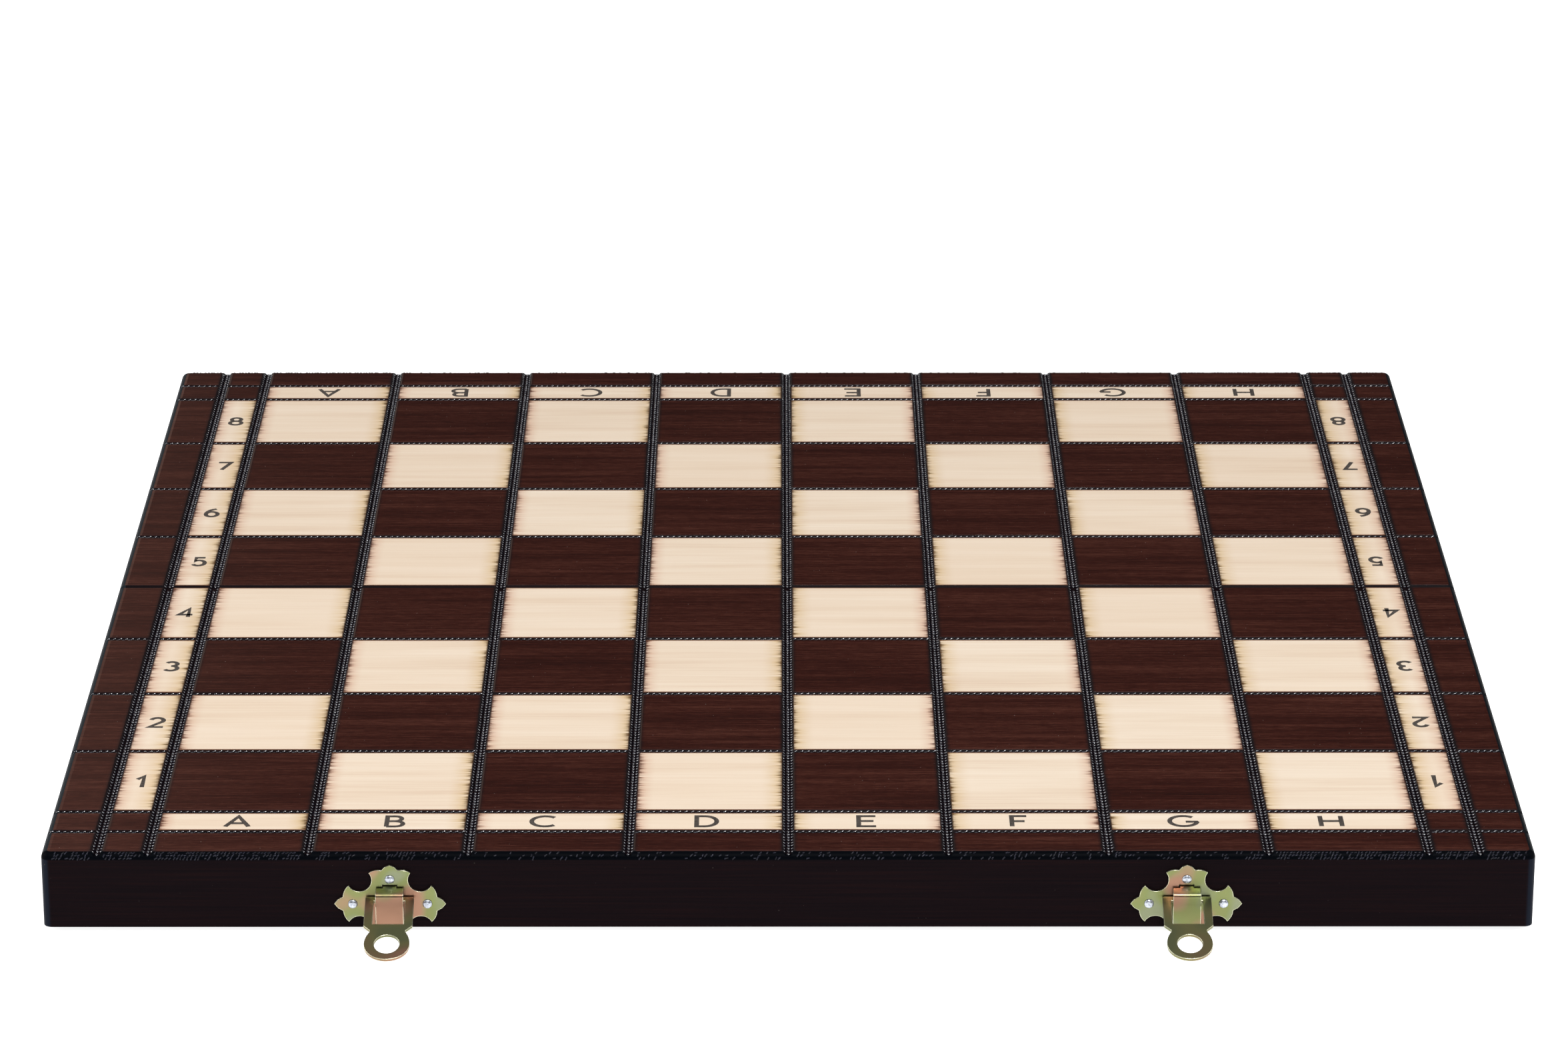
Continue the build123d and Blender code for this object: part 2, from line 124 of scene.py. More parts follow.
# %% The wire class
class Wire:
    """An output socket. Arithmetic on it adds Math nodes to its tree."""

    def __init__(self, socket):
        self.socket = socket

    def node(self, kind, settings=None, inputs=None, output=0):
        """Adds a node: its settings first, then the values or wires of its inputs, by name or index."""
        tree = self.socket.id_data
        made = tree.nodes.new("ShaderNode" + kind)
        for name, value in (settings or {}).items():
            if name == "stops":
                set_stops(made.color_ramp, value)
            else:
                setattr(made, name, value)
        for name, value in (inputs or {}).items():
            if isinstance(value, Wire):
                tree.links.new(value.socket, made.inputs[name])
            else:
                made.inputs[name].default_value = value
        return Wire(made.outputs[output]) if made.outputs else None

    def math(self, operation, *others):
        return self.node("Math", {"operation": operation}, dict(enumerate((self, *others))))

    def __add__(self, other):
        return self.math("ADD", other)

    def __mul__(self, other):
        return self.math("MULTIPLY", other)

    def __sub__(self, other):
        return self.math("SUBTRACT", other)

    def __rsub__(self, other):
        return self.node("Math", {"operation": "SUBTRACT"}, {0: other, 1: self})

    def __truediv__(self, other):
        return self.math("DIVIDE", other)

    def __pow__(self, other):
        return self.math("POWER", other)

    def __lt__(self, other):
        return self.math("LESS_THAN", other)

    def __gt__(self, other):
        return self.math("GREATER_THAN", other)

    def __abs__(self):
        return self.math("ABSOLUTE")

    __radd__, __rmul__ = __add__, __mul__


def set_stops(ramp, stops):
    """Gives a colour ramp its (position, colour) stops."""
    while len(ramp.elements) < len(stops):
        ramp.elements.new(1.0)
    for element, (position, colour) in zip(ramp.elements, stops):
        element.position, element.color = position, (*colour, 1.0)


print("wire operators ready")

# %% [markdown]
# ## Helpers for materials
# Noise needs coordinates that stay with the wood when a half folds, so every material reads object
# coordinates, scaled to millimetres. Grain is noise squeezed hard along one axis. `ramped` turns a
# distance into a soft mask, and `mixed` blends two colours with a Mix node, because a Math node would
# turn them grey.

# %% Material helpers
def new_material(name):
    """An empty material, with a wire for the place in mm."""
    material = bpy.data.materials.new(name)
    material.use_nodes = True
    material.node_tree.nodes.clear()
    coordinates = material.node_tree.nodes.new("ShaderNodeTexCoord")
    return material, scaled(Wire(coordinates.outputs["Object"]), 1 / MM, 1 / MM, 1 / MM)


def scaled(vector, x, y, z):
    return vector.node("VectorMath", {"operation": "MULTIPLY"}, {0: vector, 1: (x, y, z)})


def split(vector):
    return [vector.node("SeparateXYZ", None, {0: vector}, axis) for axis in range(3)]


def noise(vector, scale, detail=2.0, roughness=0.5):
    """Noise about 0 to 1, with its middle at 0.5."""
    inputs = {"Vector": vector, "Scale": scale, "Detail": detail, "Roughness": roughness}
    return vector.node("TexNoise", None, inputs)


def ramped(value, start, end, low=0.0, high=1.0):
    """A smooth step of value from low at start to high at end."""
    inputs = {"Value": value, "From Min": start, "From Max": end, "To Min": low, "To Max": high}
    return value.node("MapRange", {"interpolation_type": "SMOOTHSTEP"}, inputs)


def mixed(factor, first, second, how="MIX"):
    """The first colour where factor is 0 and the second where it is 1."""
    return factor.node("Mix", {"data_type": "RGBA", "blend_type": how}, {0: factor, 6: first, 7: second}, 2)


def coloured(value, stops):
    return value.node("ValToRGB", {"stops": stops}, {0: value})


def bumped(height, distance, strength, normal=None):
    """A normal that rises by distance in mm where height goes from 0 to 1, on top of another if given."""
    inputs = {"Strength": strength, "Distance": distance * MM, "Height": height}
    return height.node("Bump", None, {**inputs, "Normal": normal} if normal else inputs)


def principled(wire, **inputs):
    """A Principled shader, its sockets named with underscores for spaces."""
    sockets = {name.replace("_", " "): value for name, value in inputs.items()}
    return wire.node("BsdfPrincipled", None, sockets)


def finish_material(material, shader):
    shader.node("OutputMaterial", None, {"Surface": shader})
    print("material:", material.name, "nodes:", len(material.node_tree.nodes))
    return material


print("material helpers ready")

# %% [markdown]
# ## The walls
# The walls and everything else outside the playing surface are stained almost black and sprayed with
# satin lacquer. Only a trace of the grain shows, with a few specks of dust under the lacquer. The finish
# is a function, because the panel's own sides need it too. The inside of each tray is left with the plain
# brown stain, because nobody sees it until the box is open.

# %% Wall lacquer
def rail_grain(place):
    """Grain that runs along X."""
    return noise(scaled(place, 0.02, 0.5, 1.6), 1.0, 4.0, 0.6)


def wall_finish(place):
    """A nearly black satin shader with a trace of grain, and a painted bluish sheen where it bends round an
    upright corner.
    """
    grain = rail_grain(place)
    colour = coloured(grain, [
        (0.30, (0.0038, 0.0018, 0.0030)), (0.5, (0.0062, 0.0028, 0.0040)),
        (0.72, (0.0115, 0.0042, 0.0048))])
    to_x, to_y = split(place.node("TexCoord", output="Normal"))[:2]
    # Painted sheen: a cool blue reflection is painted into the colour at the upright corners.
    colour = mixed(ramped(abs(to_x * to_y), 0.05, 0.35), colour, (0.010, 0.013, 0.022, 1.0))
    colour = mixed(ramped(noise(place, 1.3, 0.0), 0.86, 0.89), colour, (0.05, 0.04, 0.036, 1.0))
    return principled(
        place,
        Base_Color=colour,
        Roughness=0.34 + 0.16 * grain,
        Specular_IOR_Level=0.03,
        Normal=bumped(grain, 0.02, 0.5),
    )


rails, place = new_material("rail_lacquer")
x, y, z = split(place)
inside = HALF - RAIL + SKIN
tray = (abs(x) < inside) * (abs(y) < inside) * (abs(y) > RAIL - SKIN)
bare_grain = rail_grain(place)
bare_wood = principled(
    place,
    Base_Color=coloured(bare_grain, [
        (0.30, (0.10, 0.045, 0.022)), (0.5, (0.16, 0.075, 0.038)), (0.72, (0.24, 0.125, 0.065))]),
    Roughness=0.5 + 0.2 * bare_grain,
    Specular_IOR_Level=0.3,
)
finish_material(rails, tray.node("MixShader", None, {0: tray, 1: wall_finish(place), 2: bare_wood}))

# %% [markdown]
# ## The playing surface
# On the real board the squares are not inlaid: the pattern is stained into one plywood panel and then
# lacquered, and the grooves are pressed in with a hot wheel. The wheel scorches the pale wood where it
# crosses the grain, so streaks of brown run along the grain into each pale square, golden on the side
# towards the middle of the board and reddish on the other. Its press rounds the lips of every square,
# which catch a thin line of light. All of it is worked out from the distance to the nearest groove.

# %% Where a point lies on the board
board, place = new_material("board_lacquer")
x, y, z = split(place)
column, row = (x / SQUARE).math("FLOOR"), (y / SQUARE).math("FLOOR")
odd = (column + row + 16.0).math("MODULO", 2.0)
in_x, in_y = abs(x) < FIELD, abs(y) < FIELD
band_x = (abs(x) < BAND) * (1.0 - in_x)
band_y = (abs(y) < BAND) * (1.0 - in_y)
pale = in_x * in_y * odd + band_x * in_y + in_x * band_y

left_gap = (x - column * SQUARE).math("MINIMUM", abs(x + BAND))
right_gap = ((column + 1.0) * SQUARE - x).math("MINIMUM", abs(BAND - x))
front_gap = (y - row * SQUARE).math("MINIMUM", abs(y + BAND))
back_gap = ((row + 1.0) * SQUARE - y).math("MINIMUM", abs(BAND - y))
rank_gap = front_gap.math("MINIMUM", back_gap)
file_gap = left_gap.math("MINIMUM", right_gap)
outer_gap = left_gap + (right_gap - left_gap) * (x > 0.0)
inner_gap = left_gap + right_gap - outer_gap
print("nodes that place the pattern:", len(board.node_tree.nodes))

# %% Wood grain and scorch marks
grain_lines = noise(scaled(place, 0.03, 2.4, 1.0), 1.0, 4.0, 0.62)
broad_grain = noise(scaled(place, 0.008, 0.16, 0.3), 1.0, 3.0)
fine_scratches = noise(scaled(place, 0.12, 6.0, 1.0), 1.0, 2.0, 0.7)
teeth = noise(scaled(place, 0.05, 1.5, 1.0), 1.0, 3.0, 0.8)
tooth_pattern = teeth * 0.6 + fine_scratches * 0.4
cell_tone = place.node("TexWhiteNoise", {"noise_dimensions": "2D"},
                       {0: place.node("CombineXYZ", None, {0: column, 1: row})})


def glow(gap, reach):
    """A warm tint that fades out with the distance from a groove, uneven along it."""
    fade = (1.0 - (gap - FILE_HALF) / reach).math("MAXIMUM", 0.0).math("MINIMUM", 1.0)
    return fade ** 1.5 * ramped(tooth_pattern, 0.40, 0.60, 0.15, 1.0)


def scorch(gap):
    """Dark teeth that reach out of a groove along the grain, each with a length of its own."""
    length = ramped(tooth_pattern, 0.42, 0.62, 0.25, 3.0)
    return (1.0 - (gap - FILE_HALF) / length).math("MAXIMUM", 0.0)


rank_scorch = ramped(rank_gap, RANK_HALF + 0.8, RANK_HALF + 0.1)
charred = ramped(file_gap + teeth * 0.9, FILE_HALF + 1.0, FILE_HALF + 0.5)
print("nodes with grain and scorch marks:", len(board.node_tree.nodes))

# %% Board colours
pale_wood = coloured(broad_grain * 0.5 + grain_lines * 0.5, [
    (0.30, (0.74, 0.56, 0.41)), (0.47, (0.86, 0.71, 0.55)), (0.62, (0.92, 0.79, 0.64))])
pale_wood = mixed(ramped(cell_tone, 0.0, 1.0, 0.0, 0.35), pale_wood, (0.84, 0.66, 0.49, 1.0))
pale_wood = mixed(glow(outer_gap, 5.0), pale_wood, (0.56, 0.22, 0.12, 1.0))
pale_wood = mixed(glow(inner_gap, 6.5), pale_wood, (0.60, 0.37, 0.08, 1.0))
pale_wood = mixed(ramped(scorch(outer_gap), 0.0, 0.8), pale_wood, (0.10, 0.033, 0.020, 1.0))
pale_wood = mixed(ramped(scorch(inner_gap), 0.0, 0.8), pale_wood, (0.11, 0.052, 0.016, 1.0))
pale_wood = mixed(rank_scorch, pale_wood, (0.20, 0.075, 0.03, 1.0))

streaks = noise(scaled(place, 0.30, 7.0, 1.0), 1.0, 3.0, 0.7)
stain = coloured(grain_lines * 0.35 + broad_grain * 0.2 + streaks * 0.45, [
    (0.37, (0.010, 0.0014, 0.0008)), (0.50, (0.033, 0.0052, 0.0026)), (0.63, (0.095, 0.030, 0.019))])
soot = ramped(file_gap + teeth, FILE_HALF + 2.0, FILE_HALF + 0.4, 0.0, 0.8)
stain = mixed(soot, stain, (0.004, 0.003, 0.004, 1.0))
dust = ramped(noise(place, 1.7, 0.0), 0.86, 0.89)
stain = mixed(dust, stain, (0.20, 0.16, 0.14, 1.0))

on_top = z > TOP - SKIN
board_colour = mixed(pale, stain, pale_wood)
board_colour = mixed(charred, board_colour, (0.006, 0.004, 0.005, 1.0))
print("nodes with colours:", len(board.node_tree.nodes))

# %% Board finish
to_rim = (HALF - EDGE_RADIUS - abs(x)).math("MINIMUM", HALF - EDGE_RADIUS - abs(y))
to_lip = (file_gap - FILE_HALF).math("MINIMUM", rank_gap - RANK_HALF).math("MINIMUM", to_rim)
lips = ramped(to_lip, -0.1, 0.55) * on_top
brushed = bumped(grain_lines * 0.6 + fine_scratches * 0.4, 0.03, 0.7)
playing_finish = principled(
    place,
    Base_Color=board_colour,
    Roughness=0.12 + 0.20 * pale + 0.08 * fine_scratches,
    Specular_IOR_Level=0.28,
    Normal=bumped(lips, 0.3, 0.3, brushed),
)
# Painted sheen: the rounded sides get a blue-grey colour that stands for the reflection of the side lamps,
# while the front and rear rounding keep the black of the charred edge.
edge_colour_and_sheen = coloured(fine_scratches, [(0.35, (0.012, 0.015, 0.018)), (0.65, (0.024, 0.031, 0.036))])
# Painted shade: the rounded side on the right, away from the stronger lamp, is painted darker.
edge_colour_and_sheen = mixed(ramped(x, 0.0, 1.0), edge_colour_and_sheen, (0.006, 0.007, 0.009, 1.0))  # duller on the right
on_front_or_rear = ramped(abs(y), HALF - 3.0, HALF - 1.8)
edge_colour_and_sheen = mixed(on_front_or_rear, edge_colour_and_sheen, (0.0012, 0.0018, 0.0032, 1.0))
edge_and_sheen_finish = principled(
    place,
    Base_Color=edge_colour_and_sheen,
    Roughness=0.42 + 0.1 * fine_scratches,
    Specular_IOR_Level=0.02,
)
rounded_edge = (to_rim < SKIN) * (z > TOP - EDGE_RADIUS)
outside = place.node("MixShader", None, {0: rounded_edge, 1: wall_finish(place), 2: edge_and_sheen_finish})
finish_material(board, place.node("MixShader", None, {0: on_top, 1: outside, 2: playing_finish}))

# %% Dress the wooden nodes
def dress(material, *names):
    """Gives CAD nodes a material."""
    for name in names:
        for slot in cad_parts[name].material_slots:
            slot.material = material


for half in halves:
    dress(board, f"{half}_panel")
    dress(rails, *(f"{half}_{rail}_rail" for rail in ("outer", "hinge", "left", "right")))
print("panels and rails dressed")

# %% [markdown]
# ## Knurling
# The wheel that pressed the grooves had teeth. They left a rope of slanting ridges in the narrow grooves
# and three rows of points in the wide ones, and a finer pattern round the edge of the board. They catch
# the light as rows of white glints, which a bump map can't do from every side, so each ridge is real: a
# tiny hipped roof of six corners. Thousands of them go into one mesh for each half, shaded smooth,
# because worn teeth leave rounded points. The seam between the halves has none.

# %% Ridge builder
class Ridges:
    """Collects hipped ridges into one mesh."""

    def __init__(self):
        self.vertices, self.faces = [], []

    def add(self, centre, along, normal, length, width, height, slant=0.0):
        """One uneven ridge on a surface: slant turns it about the normal, away from along."""
        along = Matrix.Rotation(math.radians(slant + random.uniform(-9, 9)), 3, normal) @ along
        across = normal.cross(along)
        size = random.uniform(0.75, 1.15)
        first = len(self.vertices)
        for end, side in ((-1, -1), (1, -1), (1, 1), (-1, 1)):
            base = centre + along * (end * length / 2 * size) + across * (side * width / 2)
            self.vertices.append(base - normal * 0.05)
        for end in (-1, 1):
            self.vertices.append(centre + along * (end * length / 5 * size) + normal * height * size)
        for face in ((0, 1, 5, 4), (1, 2, 5), (2, 3, 4, 5), (3, 0, 4), (3, 2, 1, 0)):
            self.faces.append([first + corner for corner in face])

    def piece(self, name, material, body, slot):
        vertices = [vertex * MM for vertex in self.vertices]
        return add_piece(name, vertices, self.faces, material, body, smooth=True)


def add_piece(name, vertices, faces, material, body, smooth=False):
    """A mesh piece in metres that rides on a body."""
    mesh = bpy.data.meshes.new(name)
    mesh.from_pydata([tuple(v) for v in vertices], [], faces)
    mesh.validate()
    mesh.polygons.foreach_set("use_smooth", [smooth] * len(mesh.polygons))
    mesh.materials.append(material)
    piece = bpy.data.objects.new(name, mesh)
    scene.collection.objects.link(piece)
    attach(piece, body)
    print("piece:", name, "faces:", len(mesh.polygons))
    return piece


print("ridge builder ready")

# %% Scorched lacquer for the knurling
def scorched_lacquer(name, roughness, specular, ior):
    """Charred wood under lacquer: black with a blue cast."""
    material, place = new_material(name)
    return finish_material(material, principled(
        place,
        Base_Color=coloured(noise(place, 1.6, 2.0), [
            (0.35, (0.003, 0.003, 0.006)), (0.65, (0.014, 0.015, 0.030))]),
        Roughness=roughness + 0.14 * noise(place, 3.0, 1.0),
        Specular_IOR_Level=specular,
        IOR=ior,
    ))


groove_lacquer = scorched_lacquer("groove_lacquer", 0.10, 1.0, 1.9)
edge_lacquer = scorched_lacquer("edge_lacquer", 0.24, 0.28, 1.5)

# %% Knurling of both halves
FILE_PITCH, RANK_PITCH, EDGE_PITCH = 2.0, 1.85, 1.0
# Length, width, height and slant of each kind of ridge.
FILE_FLOOR_RIDGE = 1.7, 1.25, 0.50, 30
FILE_WALL_RIDGE = {-1: (1.6, 1.0, 0.22, -34), 1: (1.6, 1.0, 0.40, 34)}  # left and right wall
RANK_FLOOR_RIDGE = 1.6, 0.85, 0.58, 30
RANK_WALL_RIDGE = 1.3, 0.65, 0.26, 28
EDGE_RIDGE = 1.15, 0.5, 0.15  # its slant varies
WALL_SHARE = 0.45  # how far up the wall of a groove its ridges stand
CROSSING_GAP = FILE_HALF + 0.4  # ridges keep this far from the middle of a groove that crosses theirs
UP, ALONG_X, ALONG_Y = Vector((0, 0, 1)), Vector((1, 0, 0)), Vector((0, 1, 0))
random.seed(7)


def steps(start, end, pitch):
    """Evenly spaced values from start to end."""
    count = int((end - start) / pitch)
    return [start + pitch * (index + 0.5) for index in range(count)]


def near_crossing(place_x):
    """Whether a ridge there would run into a groove from front to back."""
    return min(abs(place_x - line) for line in groove_lines) < CROSSING_GAP


def across_walls(depth, floor, half_width):
    """A place on each sloping wall of a groove, with its normal as (sideways, upward)."""
    tilt = math.atan2(depth, half_width - floor)
    for wall in (-1, 1):
        sideways = wall * (floor + (half_width - floor) * WALL_SHARE)
        yield wall, sideways, TOP - depth * (1 - WALL_SHARE), (-wall * math.sin(tilt), math.cos(tilt))


def knurl_file_grooves(ridges, side):
    """Rows of points along each groove from front to back: one on its floor, and one on each wall."""
    for line in groove_lines:
        for step, distance in enumerate(steps(0.8, HALF - 1.2, FILE_PITCH / 2)):
            if step % 2:
                centre = Vector((line, side * distance, TOP - FILE_DEPTH))
                ridges.add(centre, ALONG_Y, UP, *FILE_FLOOR_RIDGE)
                continue
            for wall, sideways, height, (lean, rise) in across_walls(FILE_DEPTH, FILE_FLOOR, FILE_HALF):
                centre = Vector((line + sideways, side * distance, height))
                ridges.add(centre, ALONG_Y, Vector((lean, 0, rise)), *FILE_WALL_RIDGE[wall])


def knurl_rank_grooves(ridges, side):
    """A rope of ridges along each groove from side to side: a row on its floor, and one on each wall."""
    for line in groove_lines:
        if line * side <= 0:  # the seam has no knurling
            continue
        for step, place_x in enumerate(steps(-HALF + 1.0, HALF - 1.0, RANK_PITCH / 2)):
            if near_crossing(place_x):
                continue
            if step % 2:
                centre = Vector((place_x, line, TOP - RANK_DEPTH))
                ridges.add(centre, ALONG_X, UP, *RANK_FLOOR_RIDGE)
                continue
            for _, sideways, height, (lean, rise) in across_walls(RANK_DEPTH, RANK_FLOOR, RANK_HALF):
                centre = Vector((place_x, line + sideways, height))
                ridges.add(centre, ALONG_X, Vector((0, lean, rise)), *RANK_WALL_RIDGE)


print("groove knurling defined")

# %% [markdown]
# The rounded edge is knurled too along the front and the back, while the wheel left its two sides smooth.
# The ridges stand on the rounding at three heights, staggered and a little uneven, and stop short of the
# grooves that run out through it. Many are left out, most of all away from the corners, where the pattern
# is faint.

# %% Knurling of the rounded edge
def knurl_edge(ridges, side):
    """Three rows of fine, uneven ridges on the rounded front or back edge."""
    for row_index, tilt in enumerate((14, 38, 62)):
        rise = math.radians(tilt)
        normal = Vector((0, side * math.cos(rise), math.sin(rise)))
        for place_x in steps(3.0 - HALF, HALF - 3.0, EDGE_PITCH):
            place_x += EDGE_PITCH * row_index / 3 + random.uniform(-0.2, 0.2)
            left_out = 0.2 if abs(place_x) > 130 else 0.7
            if near_crossing(place_x) or random.random() < left_out:
                continue
            axis = Vector((place_x, side * (HALF - EDGE_RADIUS), TOP - EDGE_RADIUS))
            slant = 40 + random.uniform(-30, 30)
            ridges.add(axis + normal * EDGE_RADIUS, ALONG_X, normal, *EDGE_RIDGE, slant)


for half, side in halves.items():
    in_grooves, on_edge = Ridges(), Ridges()
    knurl_file_grooves(in_grooves, side)
    knurl_rank_grooves(in_grooves, side)
    knurl_edge(on_edge, side)
    in_grooves.piece(f"{half}_knurling", groove_lacquer, f"{half}_half", "board_lacquer")
    on_edge.piece(f"{half}_edge_knurling", edge_lacquer, f"{half}_half", "board_lacquer")

# %% [markdown]
# ## Letters and numbers
# The files and ranks are printed in plain dark ink, upright for the player in front, and turned half
# round on the far and right-hand bands for the player behind. The letters of the front row stand a little
# off the middle of their squares, as if stamped by hand. Each character is a few pen strokes in a unit
# square, straight lines and elliptical arcs. A stroke is widened into a closed ribbon a few hundredths of
# a millimetre thick, so that it is a film of ink lying on the lacquer.

# %% Ink
ink, place = new_material("ink")
finish_material(ink, principled(
    place,
    Base_Color=coloured(noise(place, 1.4, 3.0, 0.7), [
        (0.35, (0.038, 0.032, 0.028)), (0.65, (0.100, 0.085, 0.073))]),
    Roughness=0.42 + 0.2 * noise(place, 2.0, 1.0),
    Specular_IOR_Level=0.3,
))

# %% Strokes of the characters
STROKE, INK_HEIGHT = 1.35, 0.04
LETTER_HEIGHT, DIGIT_SIZE = 8.6, (5.8, 8.4)
LETTERS = {  # width of each letter, and how far it stands to the right of its square's middle in front
    "A": (8.0, 1.1), "B": (6.6, 0.8), "C": (8.8, -1.9), "D": (7.7, -0.7),
    "E": (7.2, 0.0), "F": (6.4, -1.8), "G": (9.2, -0.3), "H": (8.0, -3.2),
}


def arc(centre_x, centre_y, radius_x, radius_y, start, end):
    """Points on an elliptical arc, angles in degrees."""
    count = max(2, round(abs(end - start) / 15))
    angles = [math.radians(start + (end - start) * index / count) for index in range(count + 1)]
    return [(centre_x + radius_x * math.cos(a), centre_y + radius_y * math.sin(a)) for a in angles]


CHARACTERS = {  # strokes in a unit square
    "A": [[(0, 0), (0.5, 1), (1, 0)], [(0.18, 0.33), (0.82, 0.33)]],
    "B": [[(0.06, 0), (0.06, 1), *arc(0.5, 0.76, 0.34, 0.24, 90, -90)],
          [(0.06, 0.52), *arc(0.52, 0.26, 0.42, 0.26, 90, -90), (0.06, 0)]],
    "C": [arc(0.55, 0.5, 0.52, 0.5, 48, 312)],
    "D": [[(0.06, 0), (0.06, 1), *arc(0.42, 0.5, 0.54, 0.5, 90, -90), (0.06, 0)]],
    "E": [[(0.9, 1), (0.08, 1), (0.08, 0), (0.92, 0)], [(0.08, 0.52), (0.8, 0.52)]],
    "F": [[(0.92, 1), (0.08, 1), (0.08, 0)], [(0.08, 0.5), (0.8, 0.5)]],
    "G": [[*arc(0.52, 0.5, 0.5, 0.5, 48, 345), (0.98, 0.44), (0.6, 0.44)]],
    "H": [[(0.06, 0), (0.06, 1)], [(0.94, 0), (0.94, 1)], [(0.06, 0.5), (0.94, 0.5)]],
    "1": [[(0.22, 0.72), (0.62, 1.04), (0.62, -0.1)]],
    "2": [[*arc(0.5, 0.72, 0.42, 0.28, 165, -28), (0.06, 0), (0.98, 0)]],
    "3": [arc(0.48, 0.76, 0.38, 0.24, 150, -90), arc(0.48, 0.27, 0.44, 0.27, 90, -150)],
    "4": [[(0.72, 0), (0.72, 1), (0.04, 0.27), (1, 0.27)]],
    "5": [[(0.88, 1), (0.26, 1), (0.2, 0.56), *arc(0.48, 0.33, 0.44, 0.33, 125, -150)]],
    "6": [arc(0.5, 0.31, 0.43, 0.31, 0, 360), arc(0.92, 0.33, 0.85, 0.67, 100, 180)],
    "7": [[(0.04, 1), (0.96, 1), (0.36, 0)]],
    "8": [arc(0.5, 0.76, 0.36, 0.24, 0, 360), arc(0.5, 0.27, 0.44, 0.27, 0, 360)],
}
print("characters:", len(CHARACTERS))

# %% Characters as films of ink
def ribbon(path, base, top):
    """A closed strip of stroke width along a path in mm, mitred at its bends."""
    vertices, last = [], len(path) - 1
    closed = (path[0] - path[last]).length < 0.01
    for index, point in enumerate(path):
        before = path[index - 1 if index else (last - 1 if closed else 0)]
        after = path[index + 1 if index < last else (1 if closed else last)]
        arriving, leaving = (point - before), (after - point)
        heading = (arriving.normalized() + leaving.normalized()).normalized()
        reach = STROKE / 2 / max(0.5, heading.dot((leaving if leaving.length else arriving).normalized()))
        sideways = Vector((-heading.y, heading.x, 0)) * reach
        vertices += [point + sideways + UP * base, point - sideways + UP * base,
                     point - sideways + UP * top, point + sideways + UP * top]
    faces = [(3, 2, 1, 0), tuple(4 * last + corner for corner in range(4))]
    for index in range(last):
        for corner in range(4):
            a, b = 4 * index + corner, 4 * index + (corner + 1) % 4
            faces.append((a, b, b + 4, a + 4))
    return vertices, faces


def character(text, size, centre, turned):
    """Vertices in metres and faces of one printed character, centred on a point in mm."""
    way = -1 if turned else 1
    vertices, faces = [], []
    for layer, stroke in enumerate(CHARACTERS[text]):
        spans = [length - STROKE for length in size]
        path = [centre + way * Vector(((u - 0.5) * spans[0], (v - 0.5) * spans[1], 0)) for u, v in stroke]
        points, strip = ribbon(path, -0.01, INK_HEIGHT - 0.006 * layer)
        faces += [[len(vertices) + corner for corner in face] for face in strip]
        vertices += [point * MM for point in points]
    return vertices, faces


BAND_MIDDLE = (FIELD + BAND) / 2
DIGIT_SHIFT = 0.3  # the numbers stand this far to the right of their squares' middle, and in front of it


def square_middle(index):
    """The middle of a square, counted from 0 at the left or the front."""
    return SQUARE * (index - 3.5)


def printed_characters(side):
    """Character, size, place and whether it is turned, for all that is printed on one half."""
    for index, (letter, (width, shift)) in enumerate(LETTERS.items()):
        at_x = square_middle(index) + (shift if side < 0 else 0.0)
        yield letter, (width, LETTER_HEIGHT), (at_x, side * BAND_MIDDLE), side > 0
    for index, digit in enumerate("12345678"):
        if (index > 3) == (side > 0):
            for across in (-1, 1):
                at = across * BAND_MIDDLE + DIGIT_SHIFT, square_middle(index) - DIGIT_SHIFT
                yield digit, DIGIT_SIZE, at, across > 0


for half, side in halves.items():
    vertices, faces = [], []
    for text, size, at, turned in printed_characters(side):
        points, polygons = character(text, size, Vector((*at, TOP)), turned)
        faces += [[len(vertices) + corner for corner in polygon] for polygon in polygons]
        vertices += points
    add_piece(f"{half}_lettering", vertices, faces, ink, f"{half}_half")

# %% [markdown]
# ## Latches
# The latches are stamped from thin steel, plated with zinc and passivated yellow. That film is thinner
# than the wavelength of light, so its colour drifts between olive, green and pink over a few millimetres.
# The sheared edges of the sheet are slightly rounded, and a pale highlight is painted along them. Slow
# noise picks the colour, which is pinker round the strap where the sheet was bent. A bevel shader rounds
# the sharp edges of the solids, and where its normal leaves that of the face, the film colour gives way to
# that painted highlight.

# %% Yellow zinc
plate_low, plate_high = box_in_mm("right_latch_plate")
LATCH_X = (plate_low[0] + plate_high[0]) / 2  # from the middle of the board to the middle of each latch
# The colour of the highlight painted along the edges of the sheet.
PAINTED_EDGE_HIGHLIGHT = (0.85, 0.84, 0.62, 1.0)


def yellow_zinc(name, stops, pinker):
    """Passivated zinc whose film colour wanders through the stops, further where pinker(place) is high."""
    material, place = new_material(name)
    film = coloured(noise(place, 0.10, 0.0) + pinker(place), stops)
    handled = noise(place, 0.5, 2.0)
    rounded = place.node("Bevel", {"samples": 6}, {"Radius": 0.3 * MM})
    flat = place.node("NewGeometry", output="Normal")
    flatness = rounded.node("VectorMath", {"operation": "DOT_PRODUCT"}, {0: rounded, 1: flat}, "Value")
    # Painted highlight: a pale cream colour replaces the film along every rounded edge.
    film = mixed(ramped(flatness, 0.995, 0.93), film, PAINTED_EDGE_HIGHLIGHT)
    return finish_material(material, principled(
        place,
        Base_Color=film,
        Metallic=1.0,
        Roughness=0.26 + 0.12 * handled,
        Normal=bumped(handled, 0.03, 0.35, rounded),
    ))


def near_strap(place):
    """High round the strap, where the sheet was bent, and higher on the left-hand latch."""
    x, _, z = split(place)
    beside_strap = ramped(abs(abs(x) - LATCH_X), 9.5, 3.5, -0.05, 0.10)
    return beside_strap * ramped(z, 17.5, 13.0, 0.3, 1.0) + 0.05 * (x < 0.0)


def near_tip(place):
    """High at the tip of a hanging or resting hasp's ring."""
    return ramped(split(place)[2], 3.2, 0.8, 0.0, 0.20)


